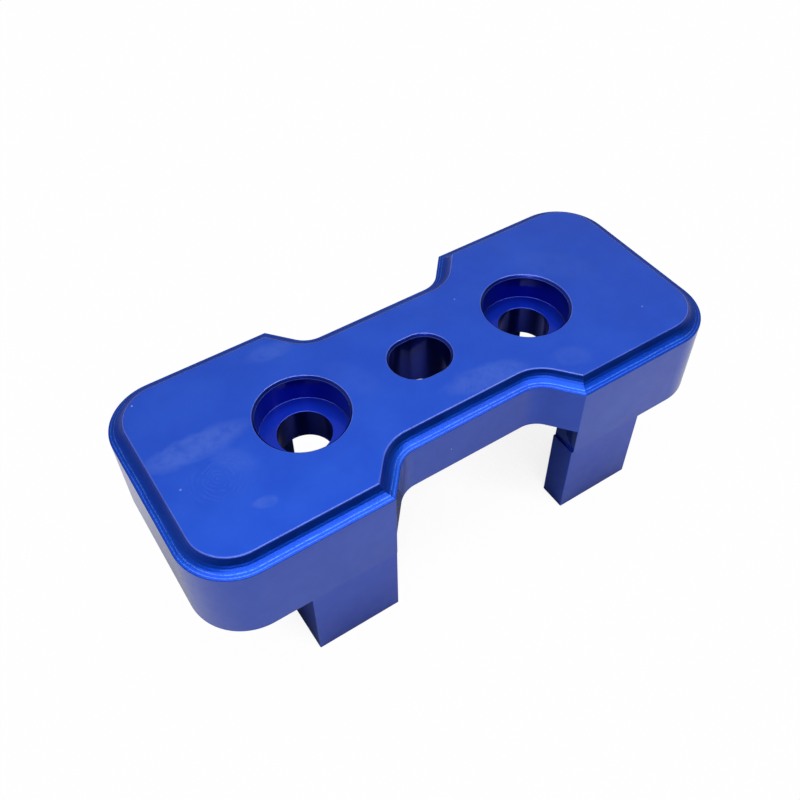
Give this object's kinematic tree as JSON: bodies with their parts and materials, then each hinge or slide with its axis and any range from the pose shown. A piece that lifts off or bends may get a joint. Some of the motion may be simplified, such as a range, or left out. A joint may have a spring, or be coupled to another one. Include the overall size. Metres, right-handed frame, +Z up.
{
  "type": "machined bridge block",
  "caption": "One-piece milled aluminium bridge block: a waisted plate with counterbored bolt holes, a middle slot and a coved top edge, standing on corner legs.",
  "frame": {"origin": "centre of the rectangle round the block in plan, on the plane that its legs stand on", "axes": "+X along the length, through both bolt holes; +Y across it; +Z up, out of the top face"},
  "size_m": [0.1, 0.0422, 0.033],
  "materials": {
    "anodised_aluminium": "milled and blue anodised, satin on top, smoother on the side walls"
  },
  "bodies": {
    "root": {"bridge_block": "anodised_aluminium"}
  },
  "joints": []
}
